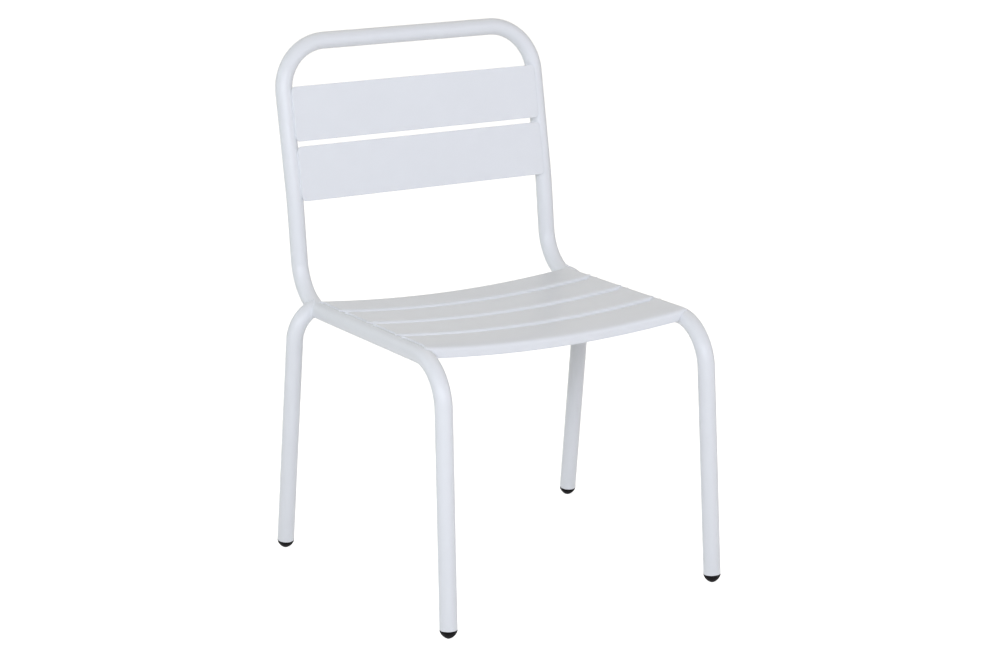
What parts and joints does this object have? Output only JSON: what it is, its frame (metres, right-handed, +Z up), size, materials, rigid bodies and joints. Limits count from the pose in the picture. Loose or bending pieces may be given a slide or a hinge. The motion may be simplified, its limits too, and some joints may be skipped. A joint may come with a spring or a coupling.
{
  "type": "child-size bistro chair",
  "caption": "Child-size bistro chair with a bent tube frame, a dished slatted seat, a slatted back, an open top hoop and domed feet.",
  "frame": {"origin": "on the floor, under the middle of the chair's outline", "axes": "+Z up, the front of the seat faces -Y, +X to the right as seen from the front"},
  "size_m": [0.394, 0.4024, 0.5737],
  "materials": {
    "white_paint": "satin powder coat",
    "black_foot": "matte"
  },
  "bodies": {
    "root": {"frame_tube": "white_paint", "rear_leg_left": "white_paint", "rear_leg_right": "white_paint", "seat_slat_rear": "white_paint", "seat_slat_mid_rear": "white_paint", "seat_slat_mid_front": "white_paint", "seat_slat_front": "white_paint", "back_slat_lower": "white_paint", "back_slat_upper": "white_paint", "foot_front_left": "black_foot", "foot_front_right": "black_foot", "foot_rear_left": "black_foot", "foot_rear_right": "black_foot"}
  },
  "joints": []
}
